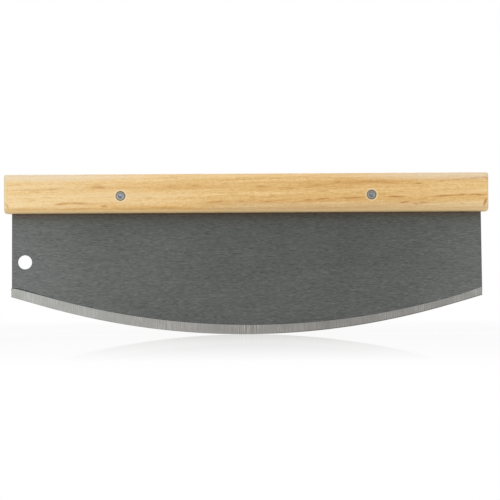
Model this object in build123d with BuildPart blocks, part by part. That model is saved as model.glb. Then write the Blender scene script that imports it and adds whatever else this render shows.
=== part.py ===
from build123d import *
import math
import os

# Rocking pizza knife: a wide blade with a curved edge, held in the saw kerf of a wooden bar by two rivets.
# +X runs along the handle, the front faces -Y and +Z is up. The origin lies below the middle of the
# handle, at the height of the lowest point of the cutting edge. Every size is in millimetres.

# Handle bar
handle_length = 355.0
handle_depth = 20.0
handle_height = 28.5
top_edge_radius = 3.0
bottom_edge_radius = 4.5
end_chamfer = 1.2

# Blade blank
blade_length = 346.0
blade_thickness = 1.5
blade_drop = 89.7
tang_height = 20.0
tang_corner_radius = 4.0
kerf_clearance = 0.05

# Cutting edge: one arc from end to end
edge_radius = 538.0
apex_thickness = 0.1

# Main bevel: its upper line is a flatter arc set off to the right, so the bevel narrows that way
bevel_height = 6.9
bevel_radius_gain = 12.0
bevel_offset = 4.1

# Run-in: where the wheel enters at the left end, the bevel is lower and starts level
run_in_length = 8.5
run_in_loss = 1.8

# Honed edge below the main bevel
hone_height = 0.7
hone_thickness = 0.4

# Hanging hole near the left end
hanging_hole_diameter = 10.3
hanging_hole_inset = 9.5
hanging_hole_drop = 35.8

# Rivets: a tubular half from the front and a solid half from the back
rivet_spacing = 184.0
rivet_height = 12.4
head_diameter = 6.4
head_thickness = 1.2
head_setback = 0.1
head_clearance = 0.25
head_rim_radius = 0.4
tube_diameter = 4.6
tube_clearance = 0.05
tube_end_gap = 0.3
blade_hole_clearance = 0.1
pin_diameter = 3.2
pin_clearance = 0.02
funnel_depth = 0.3
dome_height = 0.25
dome_setback = 0.1

# Heights and half sizes that several pieces share
handle_bottom = blade_drop
handle_top = handle_bottom + handle_height
rivet_z = handle_bottom + rivet_height
half_length = handle_length / 2
half_depth = handle_depth / 2
half_blade = blade_length / 2
half_thickness = blade_thickness / 2
recess_depth = head_thickness + head_setback

# Planes that look out of the front and the back face at the height of the rivets
front = Plane((0, -half_depth, rivet_z), x_dir=(1, 0, 0), z_dir=(0, -1, 0))
back = Plane((0, half_depth, rivet_z), x_dir=(1, 0, 0), z_dir=(0, 1, 0))


def arc_height(x, radius, offset, lowest):
    """Height at x of an arc that bulges downwards, with its lowest point at the offset."""
    return lowest + radius - math.sqrt(radius**2 - (x - offset) ** 2)


def lower_arc(radius, offset, lowest):
    """The blade's lower boundary from the end of the run-in to the right end."""
    start_x = run_in_length - half_blade
    middle_x = (start_x + half_blade) / 2
    points = [(x, arc_height(x, radius, offset, lowest)) for x in (start_x, middle_x, half_blade)]
    return ThreePointArc(*points)


def sides_and_top(left_corner, right_corner):
    """The two ends of the blade and the tang's top, from corner to corner."""
    tang_top = handle_bottom + tang_height
    return Polyline(right_corner, (half_blade, tang_top), (-half_blade, tang_top), left_corner)


# Handle bar: a rounded rectangular section with a kerf sawn from below along its whole length
with BuildPart() as handle_bar:
    with BuildSketch(Plane.YZ.offset(-half_length)) as section:
        with Locations((0, (handle_bottom + handle_top) / 2)):
            Rectangle(handle_depth, handle_height)
        fillet(section.vertices().group_by(Axis.Y)[-1], top_edge_radius)
        fillet(section.vertices().group_by(Axis.Y)[0], bottom_edge_radius)
    extrude(amount=handle_length)
    end_faces = handle_bar.faces().filter_by(Axis.X)
    chamfer(end_faces.edges(), end_chamfer)
    with BuildSketch(Plane.YZ.offset(-half_length)):
        with Locations((0, handle_bottom)):
            Rectangle(blade_thickness + 2 * kerf_clearance, tang_height, align=(Align.CENTER, Align.MIN))
    extrude(amount=handle_length, mode=Mode.SUBTRACT)
    for face_plane in (front, back):
        with Locations(face_plane):
            with GridLocations(rivet_spacing, 0, 2, 1):
                CounterBoreHole(
                    radius=tube_diameter / 2 + tube_clearance,
                    counter_bore_radius=head_diameter / 2 + head_clearance,
                    counter_bore_depth=recess_depth,
                    depth=half_depth,
                )
handle_bar.part.label = "handle_bar"

# Blade: one half is lofted from its outlines at four depths, from the flat face in to the middle plane,
# so the run-in, the narrowing bevel and the honed edge are ruled surfaces between those outlines
with BuildPart() as blade:
    with BuildSketch(Plane.XZ.offset(half_thickness)):
        with BuildLine():
            bevel_line = lower_arc(edge_radius + bevel_radius_gain, bevel_offset, bevel_height)
            full_rise = arc_height(-half_blade, edge_radius + bevel_radius_gain, bevel_offset, bevel_height)
            left_corner = (-half_blade, full_rise - run_in_loss)
            TangentArc(bevel_line @ 0, left_corner, tangent=-(bevel_line % 0))
            sides_and_top(left_corner, bevel_line @ 1)
        make_face()
    inner_depths = (
        (hone_thickness / 2, hone_height),
        (apex_thickness / 2, 0),
        (0, 0),
    )
    for depth, lowest in inner_depths:
        with BuildSketch(Plane.XZ.offset(depth)):
            with BuildLine():
                edge_line = lower_arc(edge_radius, 0, lowest)
                left_corner = (-half_blade, arc_height(-half_blade, edge_radius, 0, lowest))
                Line(edge_line @ 0, left_corner)
                sides_and_top(left_corner, edge_line @ 1)
            make_face()
    loft(ruled=True)
    mirror(about=Plane.XZ)
    tang_corners = blade.edges().filter_by(Axis.Y).group_by(Axis.Z)[-1]
    fillet(tang_corners, tang_corner_radius)
    with Locations(Plane((0, 0, rivet_z), x_dir=(1, 0, 0), z_dir=(0, -1, 0))):
        with GridLocations(rivet_spacing, 0, 2, 1):
            Hole(tube_diameter / 2 + blade_hole_clearance)
    hanging_hole_centre = (hanging_hole_inset - half_blade, 0, handle_bottom - hanging_hole_drop)
    with Locations(Plane(hanging_hole_centre, x_dir=(1, 0, 0), z_dir=(0, -1, 0))):
        Hole(hanging_hole_diameter / 2)
blade.part.label = "blade"

# Rivet halves: half sections turned about the rivet's axis, with r outwards and y from front to back
head_radius = head_diameter / 2
tube_radius = tube_diameter / 2
pin_radius = pin_diameter / 2
bore_radius = pin_radius + pin_clearance
face_y = half_depth - head_setback
seat_y = half_depth - recess_depth
dome_y = dome_setback - face_y
rivet_parts = []
for side, rivet_x in (("left", -rivet_spacing / 2), ("right", rivet_spacing / 2)):
    profile_plane = Plane((rivet_x, 0, rivet_z), x_dir=(1, 0, 0), z_dir=(0, 0, 1))
    rivet_axis = Axis((rivet_x, 0, rivet_z), (0, 1, 0))

    # Tubular half: a funnel-shaped head in the front recess and a tube through the wood and the blade
    with BuildPart() as sleeve:
        with BuildSketch(profile_plane) as profile:
            with BuildLine():
                Polyline(
                    (bore_radius, funnel_depth - face_y),
                    (tube_radius, -face_y),
                    (head_radius, -face_y),
                    (head_radius, -seat_y),
                    (tube_radius, -seat_y),
                    (tube_radius, seat_y - tube_end_gap),
                    (bore_radius, seat_y - tube_end_gap),
                    close=True,
                )
            make_face()
            rim = profile.vertices().group_by(Axis.X)[-1].sort_by(Axis.Y)[0]
            fillet(rim, head_rim_radius)
        revolve(axis=rivet_axis)
    sleeve.part.label = f"{side}_rivet_sleeve"

    # Solid half: a flat head in the back recess and a pin whose domed end shows in the tube
    with BuildPart() as pin:
        with BuildSketch(profile_plane) as profile:
            with BuildLine():
                Polyline(
                    (pin_radius, dome_y + dome_height),
                    (pin_radius, seat_y),
                    (head_radius, seat_y),
                    (head_radius, face_y),
                    (0, face_y),
                    (0, dome_y),
                )
                TangentArc((0, dome_y), (pin_radius, dome_y + dome_height), tangent=(1, 0))
            make_face()
            rim = profile.vertices().group_by(Axis.X)[-1].sort_by(Axis.Y)[-1]
            fillet(rim, head_rim_radius)
        revolve(axis=rivet_axis)
    pin.part.label = f"{side}_rivet_pin"
    rivet_parts += [sleeve.part, pin.part]

os.makedirs("parts", exist_ok=True)
for piece in [handle_bar.part, blade.part, *rivet_parts]:
    export_step(piece, f"parts/{piece.label}.step")
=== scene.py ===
import math
import random

import bmesh
import bpy
from mathutils import Matrix, Vector, geometry, noise


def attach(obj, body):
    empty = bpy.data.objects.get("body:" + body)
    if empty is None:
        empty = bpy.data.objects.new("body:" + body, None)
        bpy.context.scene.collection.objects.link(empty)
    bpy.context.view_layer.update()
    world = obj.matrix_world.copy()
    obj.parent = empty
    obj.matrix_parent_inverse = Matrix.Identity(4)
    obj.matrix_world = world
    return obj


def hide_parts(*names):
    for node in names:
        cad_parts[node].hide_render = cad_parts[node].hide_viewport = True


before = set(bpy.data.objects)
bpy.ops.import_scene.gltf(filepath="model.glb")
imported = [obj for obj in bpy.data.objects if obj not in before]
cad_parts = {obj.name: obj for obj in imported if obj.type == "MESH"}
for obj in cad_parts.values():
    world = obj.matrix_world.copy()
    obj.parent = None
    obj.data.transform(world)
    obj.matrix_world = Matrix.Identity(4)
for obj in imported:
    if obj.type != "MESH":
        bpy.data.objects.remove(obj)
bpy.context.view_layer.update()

# Rocking pizza knife: a wide blade with a curved edge, held in the saw kerf of a wooden bar by two rivets.
# +X runs along the handle, the front faces -Y and +Z is up. The knife's sizes are in millimetres, and
# those of the floor, the lamps and the camera are in metres.
MM = 0.001

# Handle, with its edges eased by EASE and its long round ones worn down by about WEAR
LENGTH, DEPTH = 355.0, 20.0
BOTTOM, TOP = 89.7, 118.2
TOP_RADIUS, BOTTOM_RADIUS = 3.0, 4.5
LEFT_END_RADIUS, RIGHT_END_RADIUS = 0.8, 1.2
KERF_HALF, KERF_TOP = 0.8, 109.7
EASE, WEAR = 0.12, 0.07

# Rivets, with the recesses for their heads and the bores through the wood and the blade
RIVET_X, RIVET_Z = 92.0, 102.1
RECESS_RADIUS, RECESS_FLOOR = 3.45, 8.7
BORE_RADIUS, BLADE_BORE_RADIUS = 2.35, 2.4

# Blade, with half its thickness at the face, part way down the bevel, above the hone and at the edge
BLADE_HALF = 173.0
FACE_HALF, PART_WAY_HALF, HONE_HALF, APEX_HALF = 0.75, 0.53, 0.20, 0.05
TANG_CORNER = 4.0

# Cutting edge, worn flatter beyond a place near each corner
EDGE_RADIUS, HONE_LOW, APEX_LOW = 538.0, 0.7, 0.02
WORN_FROM_X, WORN_BY = 148.0, 0.45

# Bevel's upper line, with the run-in at the left end, the run-out at the right end and a darker strip above
# it
BEVEL_RADIUS, BEVEL_OFFSET, BEVEL_LOW = 550.0, 4.1, 6.9
RUN_IN_X, RUN_IN_LOSS = -164.5, 1.8
RUN_OUT_X, RUN_OUT_RISE = 150.0, 0.75
DARKER_STRIP_HEIGHT = 0.42
WHEEL_X, WHEEL_PITCH = 1.5, 1.55

# Ends of the blade: how far they are eased at the face and at the bevel, and how far they stand out
FACE_EASE, BEVEL_EASE = 0.3, 0.22
END_DROP, LEAN_LEFT, LEAN_RIGHT, BURR_REACH = 60.0, 0.3, 0.65, 0.45

# Hanging hole, from the rim inwards
HANG_X, HANG_Z = -163.5, 53.9
HANG_STEPS = [(5.33, FACE_HALF), (5.18, 0.66), (5.15, 0.5)]


# Mesh building
INSIDE_ONLY, MERGE_DISTANCE = 1, 1e-6


class Shell:
    """Vertices and faces of one piece, gathered in millimetres."""

    def __init__(self):
        self.points = []
        self.faces = []
        self.slots = []
        self.smooth = []

    def add(self, points):
        first = len(self.points)
        self.points += [tuple(p) for p in points]
        return list(range(first, len(self.points)))

    def face(self, corners, slot=0, smooth=True):
        self.faces.append(tuple(corners))
        self.slots.append(slot)
        self.smooth.append(smooth)

    def bridge(self, a, b, slot=0, smooth=True):
        """Quads between two closed rows of as many points."""
        for i in range(len(a)):
            j = (i + 1) % len(a)
            self.face((a[i], a[j], b[j], b[i]), slot, smooth)

    def flat(self, ids, axes):
        return [Vector([self.points[i][axis] for axis in axes]) for i in ids]

    def fill(self, outer, holes, axes):
        """Flat triangles inside the outer loop and outside the round holes."""
        ids = list(outer) + [i for hole in holes for i in hole]
        edges, rounds, start = [], [], len(outer)
        for hole in holes:
            count = len(hole)
            edges += [(start + k, start + (k + 1) % count) for k in range(count)]
            start += count
            ring = self.flat(hole, axes)
            centre = sum(ring, Vector((0, 0))) / count
            rounds.append((centre, (ring[0] - centre).length))
        boundary = [list(range(len(outer)))]
        points, _, triangles, sources, *_ = geometry.delaunay_2d_cdt(
            self.flat(ids, axes), edges, boundary, INSIDE_ONLY, MERGE_DISTANCE, True
        )
        for triangle in triangles:
            middle = sum((points[i] for i in triangle), Vector((0, 0))) / 3
            if all((middle - centre).length >= radius * 0.999 for centre, radius in rounds):
                self.face([ids[sources[i][0]] for i in triangle], 0, False)

    def build(self, name, materials):
        mesh = bpy.data.meshes.new(name)
        mesh.from_pydata([(x * MM, y * MM, z * MM) for x, y, z in self.points], [], self.faces)
        for made in materials:
            mesh.materials.append(made)
        for polygon, slot, smooth in zip(mesh.polygons, self.slots, self.smooth):
            polygon.material_index = slot
            polygon.use_smooth = smooth
        mesh.update()
        shell = bmesh.new()
        shell.from_mesh(mesh)
        bmesh.ops.recalc_face_normals(shell, faces=shell.faces)
        shell.to_mesh(mesh)
        shell.free()
        return add_object(name, mesh)


def add_object(name, data):
    made = bpy.data.objects.new(name, data)
    bpy.context.scene.collection.objects.link(made)
    return made


def circle(x, z, radius, y, count=48):
    angles = [2 * math.pi * i / count for i in range(count)]
    return [(x + radius * math.cos(a), y, z + radius * math.sin(a)) for a in angles]


# Node building
def linear(r, g, b):
    """A colour written in the usual 0 to 255 steps, as linear light."""
    out = [(c / 255 / 12.92) if c <= 10.3 else ((c / 255 + 0.055) / 1.055) ** 2.4 for c in (r, g, b)]
    return (*out, 1.0)


def grey(value):
    return (value, value, value, 1.0)


class Nodes:
    """A node tree with short calls for the nodes used here."""

    def __init__(self, tree):
        self.tree = tree
        tree.nodes.clear()

    def new(self, kind, sockets=(), **settings):
        made = self.tree.nodes.new("ShaderNode" + kind)
        for name, value in settings.items():
            setattr(made, name, value)
        for key, value in dict(sockets).items():
            if isinstance(value, bpy.types.NodeSocket):
                self.tree.links.new(value, made.inputs[key])
            else:
                made.inputs[key].default_value = value
        return made

    def calc(self, operation, *values):
        return self.new("Math", dict(enumerate(values)), operation=operation).outputs[0]

    def plus(self, first, *others):
        for other in others:
            first = self.calc("ADD", first, other)
        return first

    def times(self, a, b):
        return self.calc("MULTIPLY", a, b)

    def off(self, value, middle=0.0):
        """How far the value is from the middle, either way."""
        return self.calc("ABSOLUTE", self.calc("SUBTRACT", value, middle))

    def vector(self, operation, *values):
        return self.new("VectorMath", dict(enumerate(values)), operation=operation).outputs[0]

    def axes(self, source):
        return self.new("SeparateXYZ", {0: source}).outputs

    def place(self, source, location=(0, 0, 0), rotation=(0, 0, 0), scale=(1, 1, 1), kind="POINT"):
        sockets = {"Vector": source, "Location": location, "Rotation": rotation, "Scale": scale}
        return self.new("Mapping", sockets, vector_type=kind).outputs[0]

    def noise(self, source, scale, detail=2.0, rough=0.5, output="Fac"):
        """Noise with about so many waves to a millimetre along each axis."""
        scaled = self.place(source, scale=scale)
        sockets = {"Vector": scaled, "Scale": 1.0, "Detail": detail, "Roughness": rough}
        return self.new("TexNoise", sockets).outputs[output]

    def shake(self, source, reach, scale, detail=2.0, rough=0.5):
        """The source moved about by noise, by up to half the reach either way."""
        shift = self.vector("SUBTRACT", self.noise(source, scale, detail, rough, "Color"), (0.5, 0.5, 0.5))
        return self.vector("ADD", source, self.vector("MULTIPLY", shift, reach))

    def grade(self, value, low, high, to_low=0.0, to_high=1.0, smooth=False):
        sockets = {"Value": value, "From Min": low, "From Max": high, "To Min": to_low, "To Max": to_high}
        kind = "SMOOTHSTEP" if smooth else "LINEAR"
        return self.new("MapRange", sockets, interpolation_type=kind, clamp=True).outputs[0]

    def ramp(self, value, stops, level=1.0):
        """A row of colours along the value, each scaled by the level."""
        made = self.new("ValToRGB", {"Fac": value})
        elements = made.color_ramp.elements
        while len(elements) < len(stops):
            elements.new(0.5)
        for element, (place, colour) in zip(elements, stops):
            element.position = place
            element.color = (*(c * level for c in colour[:3]), 1.0)
        return made.outputs[0]

    def mix(self, amount, a, b, mode="MIX"):
        sockets = {0: amount, 6: a, 7: b}
        return self.new("Mix", sockets, data_type="RGBA", blend_type=mode, clamp_factor=True).outputs[2]

    def tint(self, a, b):
        return self.mix(1.0, a, b, "MULTIPLY")

    def bump(self, strength, distance, height):
        return self.new("Bump", {"Strength": strength, "Distance": distance, "Height": height}).outputs[0]

    def finish(self, shader):
        self.new("OutputMaterial", {"Surface": shader})


def material(name):
    """A new material, its nodes and the place on the object in millimetres."""
    made = bpy.data.materials.new(name)
    made.use_nodes = True
    nodes = Nodes(made.node_tree)
    place = nodes.place(nodes.new("TexCoord").outputs["Object"], scale=(1000, 1000, 1000))
    return made, nodes, place


# Grain streaks on the front face. Most ends were read in pixels off enlarged crops of the photo, a scratch
# script turned them into millimetres, and its rows were later rounded to the half millimetre by hand.
# The strengths follow contrasts that another scratch script measured in the photo and the render.
# Each runs from x, z to x, z and has a half width in millimetres and a strength.
STREAKS = [
    (-170, 106.5, -138, 107, 0.7, 0.2),
    (-147, 107, -136, 107.5, 0.7, 0.3),
    (-156, 105, -151, 105, 0.7, 0.25),
    (-160.5, 99, -152.5, 99, 0.8, 0.15),
    (-148, 101.5, -143, 101, 0.7, 0.15),
    (-139.5, 96, -130.5, 96.5, 0.7, 0.6),
    (-132, 97, -113.5, 96.5, 0.9, 0.45),
    (-105.5, 94.5, -102, 94.5, 0.7, 0.6),
    (-97.5, 94, -93, 94, 0.6, 0.2),
    (-176, 91.5, -142, 92, 0.8, 0.2),
    (-146, 92, -105, 93, 0.8, 0.25),
    (-110, 92, -70, 92.5, 0.8, 0.15),
    (-72, 93, -36, 93, 0.8, 0.25),
    (-114.5, 108.5, -102.5, 108.5, 1.2, 0.5),
    (-176.5, 97, -174.5, 94, 0.5, 0.7),
    (-176.5, 116.5, -177, 114.5, 0.5, 0.7),
    (-74, 100.5, -68, 100.5, 0.8, 0.2),
    (-70.5, 93.5, -63, 93.5, 0.7, 0.25),
    (-65, 93.5, -51.5, 93, 0.7, 0.15),
    (-57, 108.5, -51, 109, 0.9, 0.3),
    (-40, 109, -35, 109.5, 0.7, 0.5),
    (-31, 97, -17.5, 97.5, 0.7, 0.4),
    (-22.5, 97.5, -14.5, 98, 0.7, 0.4),
    (-17.5, 110.5, -12.5, 111, 0.8, 0.3),
    (-7.5, 98, 0.5, 97.5, 0.7, 0.5),
    (6, 108.5, 16, 108.5, 0.9, 0.45),
    (11.5, 97, 20, 97.5, 0.8, 0.65),
    (20, 97.5, 33, 98.5, 0.7, 0.3),
    (23.5, 107, 39, 107, 1.0, 0.3),
    (41, 98.5, 49, 98.5, 0.7, 0.6),
    (42.5, 107.5, 50, 108, 0.7, 0.3),
    (45.5, 109, 61, 109.5, 0.7, 0.45),
    (50, 98.5, 61.5, 99.5, 0.8, 0.7),
    (51.5, 105, 59.5, 105, 0.7, 0.3),
    (54, 93.5, 58.5, 93.5, 0.6, 0.6),
    (62.5, 110.5, 71, 112, 0.9, 0.3),
    (64, 110.5, 88, 110.5, 1.0, 0.2),
    (67.5, 99.5, 89.5, 100, 0.9, 0.6),
    (96.5, 110.5, 112, 110.5, 0.8, 0.35),
    (102.5, 100.5, 118, 100.5, 0.7, 0.8),
    (112.5, 96, 119.5, 97, 0.7, 0.6),
    (113.5, 96, 119.5, 96.5, 0.6, 0.6),
    (123, 95.5, 125, 95, 0.5, 1.5),
    (126.5, 96, 133, 96, 0.6, 0.8),
    (123, 110, 129, 110, 0.7, 0.65),
    (135.5, 100.5, 155, 101.5, 0.7, 0.65),
    (140.5, 111.5, 148, 112.5, 0.7, 0.3),
    (145, 112, 163.5, 113.5, 0.7, 0.35),
    (154.5, 101.5, 161, 102, 0.7, 0.65),
    (157.5, 95.5, 159.5, 95, 0.5, 0.6),
    (163, 113.5, 174, 114.5, 0.7, 0.6),
    (164, 101.5, 167, 102, 0.6, 0.65),
    (168.5, 102, 172, 101.5, 0.7, 1.0),
    (172, 101.5, 176.5, 101.5, 0.6, 0.3),
    (173.5, 114.5, 176.5, 114, 0.6, 1.5),
    # Upright marks at the right end: painted shade along the end edge, not grain
    (175.5, 97.5, 174.5, 95, 0.7, 3.5),
    (176.5, 115, 177, 112.5, 0.6, 0.6),
]

# Broad soft bands of darker wood on the same face, in the same form. They were typed in by hand from a
# printed map of where the photo was darker than the render.
BANDS = [
    (-150, 109.5, 85, 110.5, 1.9, 0.3),
    (-35, 97, 150, 102.5, 1.7, 0.35),
    (-172, 92.5, -115, 95, 1.3, 0.35),
    (-125, 95.5, -70, 94.5, 1.6, 0.3),
    (-110, 93, -45, 93, 1.2, 0.3),
    (75, 112, 112, 112, 1.4, 0.35),
    (-132, 107.5, -5, 108, 1.4, 0.3),
    (-125, 101.5, -50, 102.5, 2.0, 0.3),
    (-125, 97.5, -60, 97.5, 1.5, 0.2),
    (-15, 107, 60, 107.5, 1.6, 0.35),
    (35, 110, 110, 110.5, 1.6, 0.2),
    (128, 104, 178, 105, 1.5, 0.35),
]

# Seeded streaks on the back. Marks that run further than the longest core have no dark core.
BACK_STREAKS, BACK_SEED = 26, 11
LONGEST_CORE = 45


def wood_tone(nodes, place, along, fibres, threads):
    """From pale to brown: paler at the left, most orange right of the middle, and drawn out in fibres."""
    bands = nodes.noise(along, (0.006, 0.14, 0.20), detail=2.5, rough=0.55)
    plumes = nodes.noise(along, (0.018, 0.35, 0.45))
    flecks = nodes.noise(along, (0.17, 1.0, 1.25), detail=2.5, rough=0.6)
    specks = nodes.noise(along, (0.55, 1.1, 1.35), rough=0.6)
    x, _, z = nodes.axes(place)
    tone = nodes.plus(
        nodes.grade(x, -160, 60, 0.06, 0.50, smooth=True),
        nodes.grade(x, 100, 178, 0.0, -0.15),
        nodes.grade(z, 95.5, 91.0, 0.0, 0.22, smooth=True),
        nodes.grade(bands, 0.28, 0.72, 0.0, 0.36),
        nodes.grade(plumes, 0.30, 0.70, -0.10, 0.17),
        nodes.grade(fibres, 0.30, 0.70, -0.17, 0.17),
        nodes.grade(flecks, 0.28, 0.72, -0.13, 0.13),
        nodes.grade(specks, 0.30, 0.70, -0.14, 0.14),
        nodes.grade(threads, 0.30, 0.70, -0.20, 0.20),
    )
    return nodes.ramp(tone, [
        (0.0, linear(242, 216, 168)),
        (0.35, linear(237, 204, 147)),
        (0.65, linear(226, 187, 123)),
        (1.0, linear(208, 163, 97)),
    ])


def pores(nodes, along, offset, scale, channel, fade, left_out, strongest):
    """Short dashes, one to a cell. The lowest share of the cells is left out, and the rest vary."""
    cells = nodes.new("TexVoronoi", {"Vector": nodes.place(along, offset, scale=scale), "Scale": 1.0})
    draw = nodes.new("SeparateColor", {0: cells.outputs["Color"]}).outputs[channel]
    dash = nodes.grade(cells.outputs["Distance"], *fade)
    return nodes.times(dash, nodes.grade(draw, left_out, 0.95, 0.0, strongest))


def grain_marks():
    """Every streak and band with the y of its face: placed ones in front, seeded ones at the back."""
    front, back = -DEPTH / 2, DEPTH / 2
    seeded = random.Random(BACK_SEED)
    marks = [(*streak, front) for streak in STREAKS]
    for _ in range(BACK_STREAKS):
        x, z, run = seeded.uniform(-168, 160), seeded.uniform(92, 115), seeded.uniform(5, 26)
        width, strength = seeded.uniform(0.5, 0.9), seeded.uniform(0.25, 0.6)
        marks.append((x, z, x + run, z + run * 0.03, width, strength, back))
    return marks + [(*band, front) for band in BANDS]


def marked(nodes, place, threads, colour):
    """The wood with its marks, roughened along their sides and broken up along their length."""
    frayed = nodes.shake(place, (3.0, 0.0, 0.9), (0.35, 0.8, 1.4), detail=3.0, rough=0.65)
    halo, core = 0.0, 0.0
    for x0, z0, x1, z1, width, strength, y in grain_marks():
        run = math.hypot(x1 - x0, z1 - z0)
        unit = nodes.place(
            frayed,
            location=((x0 + x1) / 2, y, (z0 + z1) / 2),
            rotation=(0, -math.atan2(z1 - z0, x1 - x0), 0),
            scale=(run * 0.8 + 2.0, 2.5, width * 1.75),
            kind="TEXTURE",
        )
        spot = nodes.new("TexGradient", {"Vector": unit}, gradient_type="SPHERICAL").outputs["Fac"]
        halo = nodes.calc("MULTIPLY_ADD", spot, strength, halo)
        if run < LONGEST_CORE:
            core = nodes.plus(core, nodes.grade(spot, 0.42, 0.86, 0.0, strength * 1.22))
    halo = nodes.times(halo, nodes.grade(threads, 0.30, 0.65, 0.66, 1.02))
    streak = nodes.times(nodes.calc("MINIMUM", core, 1.0), nodes.grade(threads, 0.35, 0.62, 0.40, 1.0))
    colour = nodes.mix(halo, colour, linear(213, 162, 93))
    return nodes.mix(streak, colour, linear(164, 107, 48)), streak


def grey_low_and_lit_edges(nodes, place, colour):
    """Greyer low in the right half, and paler along both long edges, at the top most of all near the ends: a
    painted sheen on the top edge and painted light on the bottom one.
    """
    x, _, z = nodes.axes(place)
    low = nodes.times(nodes.grade(z, 98.5, 94.5, smooth=True), nodes.grade(x, -45, 0))
    colour = nodes.mix(nodes.times(low, 0.32), colour, linear(202, 182, 150))
    # Painted sheen on the top rounded edge, strongest near the ends
    towards_end = nodes.grade(nodes.off(x), 60, 130)
    pale = nodes.mix(towards_end, linear(240, 207, 160), linear(233, 217, 192))
    start = nodes.grade(towards_end, 0, 1, 114.0, 111.0)
    amount = nodes.grade(towards_end, 0, 1, 0.45, 0.62)
    colour = nodes.mix(nodes.times(nodes.grade(z, start, 116.6, smooth=True), amount), colour, pale)
    # Painted light on the bottom rounded edge
    return nodes.mix(nodes.grade(z, 92.6, 90.3, 0.0, 0.72, smooth=True), colour, linear(255, 224, 168))


def end_grain(nodes, place, colour):
    """Darker, speckled ends, with a lighter rim along the rounded ends that is greyer at the left."""
    facing = nodes.off(nodes.axes(nodes.new("NewGeometry").outputs["True Normal"])[0])
    speck = nodes.noise(place, (0.3, 2.6, 2.6), detail=3.0, rough=0.7)
    grainy = nodes.ramp(speck, [(0.35, linear(176, 130, 80)), (0.62, linear(216, 176, 120))])
    colour = nodes.mix(nodes.grade(facing, 0.85, 0.97, 0.0, 0.8), colour, grainy)
    x = nodes.axes(place)[0]
    beside = nodes.grade(facing, 0.97, 0.85)
    rim = nodes.calc("MAXIMUM", nodes.grade(x, -175.9, -176.7), nodes.grade(x, 176.6, 177.1))
    colour = nodes.mix(nodes.times(nodes.times(rim, beside), 0.45), colour, linear(240, 222, 184))
    greyed = nodes.times(nodes.grade(x, -176.8, -177.1, 0.0, 0.5), beside)
    return nodes.mix(greyed, colour, linear(186, 174, 150))


def rivet_rings_and_painted_shade(nodes, place, colour):
    """A pale ring round each rivet, and painted shade inside the recesses and in the kerf."""
    x, y, z = nodes.axes(place)
    folded = nodes.new("CombineXYZ", {0: nodes.off(x), 2: z}).outputs[0]
    centre = (RIVET_X, 0, RIVET_Z)
    reach = nodes.new("VectorMath", {0: folded, 1: centre}, operation="DISTANCE").outputs["Value"]
    colour = nodes.mix(nodes.grade(reach, 5.0, 4.0, 0.0, 0.60), colour, linear(240, 223, 188))
    # Painted shade in the recesses round the rivet heads
    colour = nodes.mix(nodes.grade(reach, 3.80, RECESS_RADIUS, 0.0, 0.75), colour, linear(132, 114, 86))
    # Painted shade in the kerf
    between = nodes.calc("LESS_THAN", nodes.off(y), KERF_HALF + 0.02)
    below = nodes.calc("LESS_THAN", z, KERF_TOP + 0.1)
    return nodes.mix(nodes.times(nodes.times(between, below), 0.6), colour, linear(110, 78, 48))


def wood_material():
    """Pale rubberwood. Its fibres run along the bar, rise slightly to the right and wander."""
    made, nodes, place = material("rubberwood")
    swayed = nodes.shake(place, (0, 3.0, 3.0), (0.011, 0.05, 0.05))
    along = nodes.place(swayed, rotation=(0, 0.03, 0))
    fibres = nodes.noise(along, (0.035, 0.6, 0.9), detail=4.0, rough=0.62)
    threads = nodes.noise(along, (0.27, 1.5, 2.1), detail=3.0, rough=0.65)

    colour = wood_tone(nodes, place, along, fibres, threads)
    dash = pores(nodes, along, (0, 0, 0), (0.13, 0.75, 0.85), "Red", (0.20, 0.05), 0.62, 0.55)
    colour = nodes.mix(dash, colour, linear(194, 138, 78))
    nick = pores(nodes, along, (3, 5, 7), (0.24, 1.0, 1.25), "Green", (0.34, 0.08), 0.40, 0.50)
    colour = nodes.mix(nick, colour, linear(202, 149, 84))
    colour, streak = marked(nodes, place, threads, colour)
    colour = grey_low_and_lit_edges(nodes, place, colour)
    colour = end_grain(nodes, place, colour)
    colour = rivet_rings_and_painted_shade(nodes, place, colour)

    worn = nodes.plus(nodes.times(fibres, 0.6), nodes.times(streak, 0.5))
    raised = nodes.calc("MULTIPLY_ADD", threads, 0.7, nodes.times(fibres, 0.6))
    sunk = nodes.calc("MULTIPLY_ADD", streak, 0.8, nodes.times(dash, 0.8))
    shader = nodes.new("BsdfPrincipled", {
        "Base Color": colour,
        "Roughness": nodes.grade(worn, 0.2, 0.9, 0.46, 0.66),
        "Specular IOR Level": 0.35,
        "Normal": nodes.bump(0.22, 0.00012, nodes.calc("SUBTRACT", raised, sunk)),
    })
    nodes.finish(shader.outputs[0])
    return made


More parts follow.
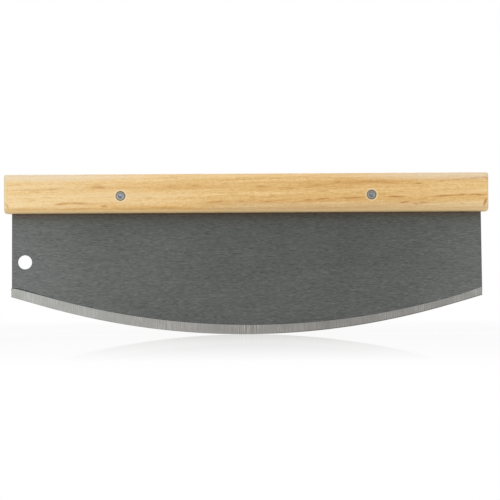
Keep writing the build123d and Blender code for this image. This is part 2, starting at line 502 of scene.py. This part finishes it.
def satin_material(name, level):
    """Steel brushed along the blade in short strokes. Level scales how light it is."""
    made, nodes, place = material(name)
    x, _, z = nodes.axes(place)
    strokes = nodes.noise(place, (0.34, 2.0, 2.7), detail=2.5, rough=0.6)
    bursts = nodes.noise(place, (0.16, 1.1, 1.4))
    hairs = nodes.noise(place, (0.045, 2.2, 2.6), rough=0.6)
    clouds = nodes.noise(place, (0.012, 0.03, 0.03))
    brushed = nodes.grade(strokes, 0.16, 0.84, -1.05, 1.05)
    shade = nodes.plus(
        nodes.times(brushed, nodes.grade(bursts, 0.32, 0.68, 0.35, 1.65)),
        nodes.grade(hairs, 0.25, 0.75, -0.18, 0.18),
        nodes.grade(clouds, 0.3, 0.7, -0.12, 0.12),
    )
    tones = [
        (0.0, (0.064, 0.069, 0.067)),
        (0.5, (0.1285, 0.1345, 0.1295)),
        (1.0, (0.211, 0.217, 0.210)),
    ]
    colour = nodes.ramp(nodes.grade(shade, -1.0, 1.0), tones, level)

    # Painted light, lighter towards both ends. The factors of this ramp and the next were worked out from
    # mean colours measured in the photo and the render.
    painted_light_lengthwise = nodes.ramp(nodes.grade(x, -BLADE_HALF, BLADE_HALF), [
        (0.0, (1.12, 1.12, 1.13)),
        (0.16, grey(0.93)),
        (0.40, grey(0.80)),
        (0.70, grey(0.71)),
        (0.86, grey(0.80)),
        (1.0, grey(0.95)),
    ])

    # Painted shadow and a painted brown reflection of the wood just under the handle, and painted light
    # growing towards the edge
    painted_shade_downwards = nodes.ramp(nodes.grade(z, 90, 10), [
        (0.0, (1.25, 0.87, 0.69)),
        (0.02, (0.92, 0.755, 0.645)),
        (0.03, (0.77, 0.66, 0.565)),
        (0.05, (0.68, 0.645, 0.59)),
        (0.07, (0.74, 0.71, 0.66)),
        (0.115, (0.805, 0.787, 0.773)),
        (0.17, grey(0.86)),
        (0.27, grey(0.92)),
        (0.45, grey(0.98)),
        (0.80, grey(1.04)),
    ])
    shader = nodes.new("BsdfPrincipled", {
        "Base Color": nodes.tint(nodes.tint(colour, painted_light_lengthwise), painted_shade_downwards),
        "Metallic": 1.0,
        "Roughness": nodes.grade(strokes, 0.3, 0.7, 0.46, 0.60),
        "Anisotropic": 0.35,
        "Normal": nodes.bump(0.12, 0.00003, nodes.plus(strokes, hairs)),
    })
    nodes.finish(shader.outputs[0])
    return made


def wheel_marks(nodes, x, lines, fine, waves, contrast):
    """How light the grinding is: fine upright lines, boldest and evenly spaced where the wheel dwelt."""
    away = nodes.off(x, WHEEL_X)
    patchy = nodes.times(nodes.grade(waves, 0.42, 0.70, 0.35, 1.0), nodes.grade(x, -120, -60, 0.7, 1.0))
    bold = nodes.plus(patchy, nodes.grade(away, 8.0, 4.0, 0.0, 1.3))
    ground = nodes.plus(nodes.grade(lines, 0.25, 0.75, -0.5, 0.5), nodes.grade(fine, 0.25, 0.75, -0.3, 0.3))
    broad = nodes.grade(waves, 0.3, 0.7, -0.08, 0.08)
    shade = nodes.calc("MULTIPLY_ADD", nodes.times(ground, bold), 0.55 * contrast, broad)
    stagger = nodes.calc("MULTIPLY_ADD", lines, 2.2, nodes.times(x, 2 * math.pi / WHEEL_PITCH))
    depth = nodes.plus(nodes.grade(away, 10.0, 4.0, 0.0, 0.16), nodes.grade(waves, 0.40, 0.70, 0.01, 0.075))
    return nodes.calc("MULTIPLY_ADD", nodes.times(nodes.calc("SINE", stagger), depth), contrast, shade)


def ground_material(name, level, contrast=1.0, right_level=1.0):
    """Steel ground across the edge. Right level dims the part from the middle to the right end."""
    made, nodes, place = material(name)
    x = nodes.axes(place)[0]
    lines = nodes.noise(place, (1.5, 0.4, 0.09), detail=2.5, rough=0.6)
    fine = nodes.noise(place, (3.2, 0.8, 0.14), rough=0.6)
    waves = nodes.noise(place, (0.045, 0.1, 0.1), detail=1.5)
    shade = nodes.plus(wheel_marks(nodes, x, lines, fine, waves, contrast), 1.0)
    # The tones along the blade are painted light: lighter at the left end and darkest right of the middle.
    tones = [
        (0.0, (0.435, 0.435, 0.412)),
        (0.15, (0.405, 0.405, 0.390)),
        (0.50, (0.335, 0.322, 0.303)),
        (0.66, (0.260, 0.253, 0.236)),
        (0.85, (0.297, 0.289, 0.273)),
        (1.0, (0.31, 0.31, 0.295)),
    ]
    painted_light_lengthwise = nodes.ramp(nodes.grade(x, -BLADE_HALF, BLADE_HALF), tones, level)
    colour = nodes.tint(painted_light_lengthwise, nodes.new("CombineColor", {0: shade, 1: shade, 2: shade}).outputs[0])
    colour = nodes.mix(nodes.grade(x, 10, 50), colour, nodes.tint(colour, grey(right_level)))
    shader = nodes.new("BsdfPrincipled", {
        "Base Color": colour,
        "Metallic": 1.0,
        "Roughness": nodes.grade(lines, 0.3, 0.7, 0.24, 0.38),
        "Normal": nodes.bump(0.15, 0.00003, nodes.plus(lines, fine)),
    })
    nodes.finish(shader.outputs[0])
    return made


def rivet_material(name, x, head_light, dark, light, head, rim):
    """Plain steel with painted light: the pin's dome lightens from lower left to upper right, the head
    lightens towards lower left, and its rim holds a painted shadow and a painted brown reflection of the
    wood.
    """
    made, nodes, place = material(name)
    place_x, _, place_z = nodes.axes(place)
    across = nodes.calc("SUBTRACT", place_x, x)
    up = nodes.calc("SUBTRACT", place_z, RIVET_Z)
    reach = nodes.calc("SQRT", nodes.calc("MULTIPLY_ADD", up, up, nodes.times(across, across)))
    slope = nodes.calc("MULTIPLY_ADD", across, 0.6, nodes.times(up, 0.8))
    patch = nodes.noise(place, (0.7, 0.7, 0.9), detail=3.0, rough=0.6)
    turned = nodes.noise(nodes.new("CombineXYZ", {0: reach}).outputs[0], (6.0, 1.0, 1.0))
    marks = nodes.plus(nodes.grade(patch, 0.3, 0.7, -0.16, 0.16), nodes.grade(turned, 0.3, 0.7, -0.10, 0.10))

    lit = nodes.plus(nodes.grade(slope, -1.3, 0.9, 0.0, 1.0, smooth=True), marks)
    dome = nodes.mix(lit, linear(*dark), linear(*light))
    # Painted light on the head, lighter towards lower left, over its own marks
    head_marks_and_shading = nodes.plus(nodes.grade(slope, 1.5, -2.5, 0.0, head_light), nodes.times(marks, 1.2), 0.3)
    ring = nodes.mix(head_marks_and_shading, linear(*[c - 14 for c in head]), linear(*[c + 20 for c in head]))
    colour = nodes.mix(nodes.grade(reach, 1.75, 2.15), dome, ring)
    # Painted shadow of the gap and painted brown reflection of the wood on the head's rim
    colour = nodes.mix(nodes.grade(reach, 2.75, 3.1, 0.0, 0.8), colour, linear(*rim))
    groove = nodes.grade(nodes.off(reach, 1.65), 0.22, 0.05, 0.0, 0.5)
    shadow = nodes.times(groove, nodes.grade(slope, 0.4, -0.8, 0.3, 1.0))
    shader = nodes.new("BsdfPrincipled", {
        "Base Color": nodes.mix(shadow, colour, linear(82, 88, 104)),
        "Metallic": 1.0,
        "Roughness": nodes.grade(patch, 0.3, 0.7, 0.52, 0.64),
        "Normal": nodes.bump(0.2, 0.00003, nodes.plus(turned, patch)),
    })
    nodes.finish(shader.outputs[0])
    return made


# Handle: sections along x with rounded ends, softened long edges, the kerf and the rivet recesses
CORNER_POINTS = 13
QUARTER_TURN = [90 * i / (CORNER_POINTS - 1) for i in range(CORNER_POINTS)]


def handle_section(x, inset):
    """One section: the kerf's mouth, the four rounded corners from the back's lower one round, the kerf."""
    half = DEPTH / 2
    corners = [
        (half - BOTTOM_RADIUS, BOTTOM + BOTTOM_RADIUS, BOTTOM_RADIUS, -90),
        (half - TOP_RADIUS, TOP - TOP_RADIUS, TOP_RADIUS, 0),
        (TOP_RADIUS - half, TOP - TOP_RADIUS, TOP_RADIUS, 90),
        (BOTTOM_RADIUS - half, BOTTOM + BOTTOM_RADIUS, BOTTOM_RADIUS, 180),
    ]
    loop = [(KERF_HALF + EASE, BOTTOM + inset)]
    for k, (y, z, radius, start) in enumerate(corners):
        wear = WEAR * (1 + noise.noise(Vector((x * 0.018, k * 5.1, 0.3))))
        for degrees in QUARTER_TURN:
            angle = math.radians(start + degrees)
            reach = radius - inset - wear * math.sin(math.radians(2 * degrees))
            loop.append((y + reach * math.cos(angle), z + reach * math.sin(angle)))
    loop += [
        (-KERF_HALF - EASE, BOTTOM + inset),
        (-KERF_HALF, BOTTOM + inset + EASE),
        (-KERF_HALF, KERF_TOP),
        (KERF_HALF, KERF_TOP),
        (KERF_HALF, BOTTOM + inset + EASE),
    ]
    return [(x, y, z) for y, z in loop]


def handle_stations():
    """Each section's x and inset, and which sections the straight part begins and stops at."""
    rounding = [(1 - math.cos(math.radians(a)), 1 - math.sin(math.radians(a))) for a in range(0, 91, 15)]
    half, spans = LENGTH / 2, 50
    start, stop = LEFT_END_RADIUS - half, half - RIGHT_END_RADIUS
    left = [(LEFT_END_RADIUS * t - half, LEFT_END_RADIUS * d) for t, d in rounding]
    middle = [(start + (stop - start) * i / spans, 0.0) for i in range(1, spans)]
    right = [(half - RIGHT_END_RADIUS * t, RIGHT_END_RADIUS * d) for t, d in reversed(rounding)]
    return left + middle + right, len(left) - 1, len(left) + len(middle)


def rivet_recess(shell, x, side):
    """A stepped hole from the wood's face to the kerf. Returns its outermost and innermost rings."""
    steps = [
        (RECESS_RADIUS + EASE, DEPTH / 2),
        (RECESS_RADIUS, DEPTH / 2 - EASE),
        (RECESS_RADIUS, RECESS_FLOOR),
        (BORE_RADIUS, RECESS_FLOOR),
        (BORE_RADIUS, KERF_HALF),
    ]
    rings = [shell.add(circle(x, RIVET_Z, radius, side * y)) for radius, y in steps]
    for a, b in zip(rings, rings[1:]):
        shell.bridge(a, b)
    return rings[0], rings[-1]


def make_handle(wood):
    shell = Shell()
    stations, first, last = handle_stations()
    rings = [shell.add(handle_section(x, inset)) for x, inset in stations]
    size = len(rings[0])

    # The rows of the section that are flat sheets with rivet holes
    back_face, front_face = CORNER_POINTS, 3 * CORNER_POINTS
    front_wall, back_wall = size - 4, size - 2
    sheets = (back_face, front_face, front_wall, back_wall)
    for i in range(len(rings) - 1):
        for j in range(size):
            if j in sheets and first <= i < last:
                continue
            k = (j + 1) % size
            shell.face((rings[i][j], rings[i][k], rings[i + 1][k], rings[i + 1][j]))
    for ring in (rings[0], rings[-1]):
        shell.fill(ring, [], (1, 2))
    for side, face_row, wall_row in ((-1, front_face, front_wall), (1, back_face, back_wall)):
        outer, inner = zip(*[rivet_recess(shell, x, side) for x in (-RIVET_X, RIVET_X)])
        for row, holes in ((face_row, outer), (wall_row, inner)):
            span = range(first, last + 1)
            loop = [rings[i][row] for i in span] + [rings[i][row + 1] for i in reversed(span)]
            shell.fill(loop, holes, (0, 2))
    piece = shell.build("handle_wood_bar", [wood])
    weight = piece.modifiers.new("even_normals", "WEIGHTED_NORMAL")
    weight.keep_sharp = True
    piece.data.set_sharp_from_angle(angle=math.radians(40))
    return piece


# Blade: outlines at five depths on either side, with the faces filled round the holes
SATIN, GROUND, HONED, DARKER_STRIP = range(4)
EDGE_POINTS, END_STEPS, CORNER_STEPS = 121, 12, 8


def arc(x, radius, offset, lowest):
    return lowest + radius - math.sqrt(radius**2 - (x - offset) ** 2)


def bevel_arc(x):
    return arc(x, BEVEL_RADIUS, BEVEL_OFFSET, BEVEL_LOW)


def bevel_line(x):
    """The bevel's upper line: an arc that turns up at the right end, with the level run-in at the left."""
    if x >= RUN_IN_X:
        share = max(0.0, (x - RUN_OUT_X) / (BLADE_HALF - RUN_OUT_X))
        return bevel_arc(x) + RUN_OUT_RISE * share**1.5
    start = bevel_arc(RUN_IN_X)
    slope = (RUN_IN_X - BEVEL_OFFSET) / math.sqrt(BEVEL_RADIUS**2 - (RUN_IN_X - BEVEL_OFFSET) ** 2)
    corner = bevel_arc(-BLADE_HALF) - RUN_IN_LOSS
    run = -BLADE_HALF - RUN_IN_X
    curve = (corner - start - slope * run) / run**2
    return start + slope * (x - RUN_IN_X) + curve * (x - RUN_IN_X) ** 2


def edge_line(x, lowest):
    """The cutting edge's arc, worn a little flatter towards both corners."""
    share = max(0.0, (abs(x) - WORN_FROM_X) / (BLADE_HALF - WORN_FROM_X))
    return arc(x, EDGE_RADIUS, 0, lowest) - WORN_BY * share**1.5


def hone_line(x):
    return edge_line(x, HONE_LOW)


def apex_line(x):
    return edge_line(x, APEX_LOW)


def part_way_line(x):
    share = (FACE_HALF - PART_WAY_HALF) / (FACE_HALF - HONE_HALF)
    return bevel_line(x) + (hone_line(x) - bevel_line(x)) * share


def darker_strip_line(x):
    return bevel_line(x) + DARKER_STRIP_HEIGHT


def lean(x, z):
    """The ends of the blade stand out slightly towards the bottom, and the bevel's left corner has a burr."""
    share = max(0.0, BOTTOM - z) / END_DROP
    right, left = max(0.0, x / BLADE_HALF) ** 9, max(0.0, -x / BLADE_HALF) ** 9
    burr = BURR_REACH if x < -BLADE_HALF + 0.1 and z < bevel_line(-BLADE_HALF) else 0.0
    return x + share * (LEAN_RIGHT * right - LEAN_LEFT * left) - burr


def blade_outline(y, low, inset):
    """One closed outline: the blade's lower line, its right end, the tang's top and its left end."""
    end = BLADE_HALF - inset
    loop = []
    for i in range(EDGE_POINTS):
        x = -end + 2 * end * i / (EDGE_POINTS - 1)
        loop.append((x, low(x)))
    rise = KERF_TOP - inset - TANG_CORNER - low(end)
    loop += [(end, low(end) + rise * i / END_STEPS) for i in range(1, END_STEPS)]
    centre_x, centre_z, radius = BLADE_HALF - TANG_CORNER, KERF_TOP - TANG_CORNER, TANG_CORNER - inset
    for x, start in ((centre_x, 0), (-centre_x, 90)):
        for i in range(CORNER_STEPS + 1):
            angle = math.radians(start + 90 * i / CORNER_STEPS)
            loop.append((x + radius * math.cos(angle), centre_z + radius * math.sin(angle)))

    # The left end's lowest two points lie close above and below the bevel's corner
    rise = KERF_TOP - inset - TANG_CORNER - low(-end)
    loop += [(-end, low(-end) + rise * i / END_STEPS) for i in range(END_STEPS - 1, 2, -1)]
    corner = bevel_line(-BLADE_HALF)
    for z, clearance in ((corner + 0.5, 0.06), (corner - 0.05, 0.03)):
        loop.append((-end, max(z, low(-end) + clearance)))
    return [(lean(x, z), y, z) for x, z in loop]


def blade_side(shell, side):
    """One side of the blade down to its edge. Returns the rings that join it to the other side."""
    outlines = [
        shell.add(blade_outline(side * FACE_HALF, darker_strip_line, FACE_EASE)),
        shell.add(blade_outline(side * FACE_HALF, bevel_line, BEVEL_EASE)),
        shell.add(blade_outline(side * PART_WAY_HALF, part_way_line, 0.0)),
        shell.add(blade_outline(side * HONE_HALF, hone_line, 0.0)),
        shell.add(blade_outline(side * APEX_HALF, apex_line, 0.0)),
    ]
    size = len(outlines[0])
    for strip, a, b in zip((DARKER_STRIP, GROUND, GROUND, HONED), outlines, outlines[1:]):
        for i in range(size):
            j = (i + 1) % size
            shell.face((a[i], a[j], b[j], b[i]), strip if i < EDGE_POINTS - 1 else SATIN, False)
    hang = [shell.add(circle(HANG_X, HANG_Z, radius, side * y, 64)) for radius, y in HANG_STEPS]
    for a, b in zip(hang, hang[1:]):
        shell.bridge(a, b)
    face_y = side * FACE_HALF
    bores = [shell.add(circle(x, RIVET_Z, BLADE_BORE_RADIUS, face_y)) for x in (-RIVET_X, RIVET_X)]
    shell.fill(outlines[0], [hang[0], *bores], (0, 2))
    return outlines[-1], hang[-1], bores


def make_blade(materials):
    shell = Shell()
    front_edge, front_hang, front_bores = blade_side(shell, -1)
    back_edge, back_hang, back_bores = blade_side(shell, 1)
    shell.bridge(front_edge, back_edge, HONED, False)
    shell.bridge(front_hang, back_hang)
    for front_bore, back_bore in zip(front_bores, back_bores):
        shell.bridge(front_bore, back_bore)
    piece = shell.build("blade_plate", materials)

    # The blade's ends aren't honed
    for polygon in piece.data.polygons:
        faces_sideways = abs(polygon.normal.z) < 0.5 and abs(polygon.normal.x) > 0.9
        if polygon.material_index == HONED and faces_sideways:
            polygon.material_index = SATIN
    return piece


# Pieces with their materials
handle = make_handle(wood_material())
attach(handle, "root")
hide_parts("handle_bar")

blade = make_blade([
    satin_material("satin_steel", 1.0),
    ground_material("ground_steel", 1.0),
    ground_material("honed_steel", 0.95, contrast=0.7, right_level=0.66),
    satin_material("satin_steel_by_bevel", 0.80),
])
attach(blade, "root")
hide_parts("blade")

left_steel = rivet_material(
    "rivet_steel_left",
    -RIVET_X,
    head_light=0.7,
    dark=(104, 110, 126),
    light=(147, 152, 164),
    head=(146, 142, 130),
    rim=(134, 124, 100),
)
right_steel = rivet_material(
    "rivet_steel_right",
    RIVET_X,
    head_light=0.3,
    dark=(106, 108, 115),
    light=(130, 134, 139),
    head=(138, 134, 124),
    rim=(142, 130, 106),
)
for node in ("left_rivet_sleeve", "left_rivet_pin", "right_rivet_sleeve", "right_rivet_pin"):
    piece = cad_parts[node]
    steel = left_steel if node.startswith("left") else right_steel
    if not piece.data.materials:
        piece.data.materials.append(steel)
    for slot in piece.material_slots:
        slot.material = steel


# Floor and world: white where the camera and reflections see them, and plain elsewhere
def seen_share(nodes, path):
    """One for rays that show the floor or the world as it is, and zero for rays that carry light."""
    rays = [path.outputs[name] for name in ("Is Camera Ray", "Is Glossy Ray", "Is Transmission Ray")]
    return nodes.calc("MAXIMUM", nodes.calc("MAXIMUM", rays[0], rays[1]), rays[2])


def paper_material():
    """Pale sheet with a faint polish that mirrors the knife and dies out a short way off."""
    made, nodes, place = material("pale_floor")
    path = nodes.new("LightPath")
    distance = nodes.new("VectorMath", {0: place}, operation="LENGTH").outputs["Value"]
    white = nodes.times(seen_share(nodes, path), nodes.grade(distance, 240, 520, 0.86, 1.0, smooth=True))
    matt = nodes.new("BsdfDiffuse", {"Color": grey(0.86)}).outputs[0]
    glow = nodes.new("Emission", {"Color": grey(1), "Strength": 1.0}).outputs[0]
    pale = nodes.new("MixShader", {0: white, 1: matt, 2: glow}).outputs[0]
    near = nodes.grade(nodes.off(nodes.axes(place)[1]), 0, 400, 1.0, 0.0)
    graze = nodes.calc("POWER", nodes.new("LayerWeight", {"Blend": 0.5}).outputs["Facing"], 8.0)
    polish = nodes.times(nodes.times(near, graze), 0.44)
    mirror = nodes.new("BsdfGlossy", {"Color": grey(1), "Roughness": 0.03}).outputs[0]
    seen_polish = nodes.times(polish, path.outputs["Is Camera Ray"])
    nodes.finish(nodes.new("MixShader", {0: seen_polish, 1: pale, 2: mirror}).outputs[0])
    return made


def make_floor(reach):
    """A square sheet at the height of the cutting edge, which reaches so many metres each way."""
    mesh = bpy.data.meshes.new("floor")
    corners = [(-reach, -reach, 0), (reach, -reach, 0), (reach, reach, 0), (-reach, reach, 0)]
    mesh.from_pydata(corners, [], [(0, 1, 2, 3)])
    mesh.materials.append(paper_material())
    return add_object("floor", mesh)


def make_world(plain):
    """White where it is seen, and of the plain strength where it lights the knife."""
    made = bpy.data.worlds.new("studio")
    made.use_nodes = True
    nodes = Nodes(made.node_tree)
    strength = nodes.calc("MULTIPLY_ADD", seen_share(nodes, nodes.new("LightPath")), 1 - plain, plain)
    back = nodes.new("Background", {"Color": grey(1), "Strength": strength})
    nodes.new("OutputWorld", {"Surface": back.outputs[0]})
    return made


floor = make_floor(9)
bpy.context.scene.world = make_world(0.42)

# Lamps, all aimed at the middle of the blade
LAMP_AIM = Vector((0, 0, 0.08))


def add_lamp(name, place, size, power):
    light = bpy.data.lights.new(name, "AREA")
    light.shape = "SQUARE"
    light.size = size
    light.energy = power
    lamp = add_object(name, light)
    lamp.location = place
    lamp.rotation_euler = (LAMP_AIM - Vector(place)).to_track_quat("-Z", "Y").to_euler()


add_lamp("key", (-1.0, -1.35, 0.75), size=0.9, power=12)
add_lamp("side", (1.1, -1.3, 0.6), size=0.9, power=7)
add_lamp("overhead", (0, -0.15, 1.6), size=1.0, power=2)
add_lamp("rear", (0.2, 1.3, 1.1), size=1.0, power=8)

# Camera: level with the lower part of the blade, a little right of the middle
CAMERA_PLACE = (0.0112, -1.2, 0.040)
YAW, PITCH, ROLL = (math.radians(a) for a in (-0.407, 1.056, -0.304))
PICTURE_WIDTH, FOCAL_PIXELS, SENSOR_WIDTH = 500, 1626.02, 36.0


def camera_turn():
    """The camera's axes after yaw, pitch and roll, as a matrix."""
    ahead = Vector((math.sin(YAW) * math.cos(PITCH), math.cos(YAW) * math.cos(PITCH), math.sin(PITCH)))
    level = Vector((math.cos(YAW), -math.sin(YAW), 0))
    upright = level.cross(ahead)
    right = math.cos(ROLL) * level + math.sin(ROLL) * upright
    above = -math.sin(ROLL) * level + math.cos(ROLL) * upright
    return Matrix((right, above, -ahead)).transposed().to_4x4()


lens = bpy.data.cameras.new("camera")
lens.sensor_width = SENSOR_WIDTH
lens.lens = FOCAL_PIXELS * SENSOR_WIDTH / PICTURE_WIDTH
lens.clip_start = 0.05
lens.clip_end = 60
camera = add_object("camera", lens)
camera.matrix_world = Matrix.Translation(CAMERA_PLACE) @ camera_turn()
bpy.context.scene.camera = camera
bpy.context.scene.view_settings.view_transform = "Standard"
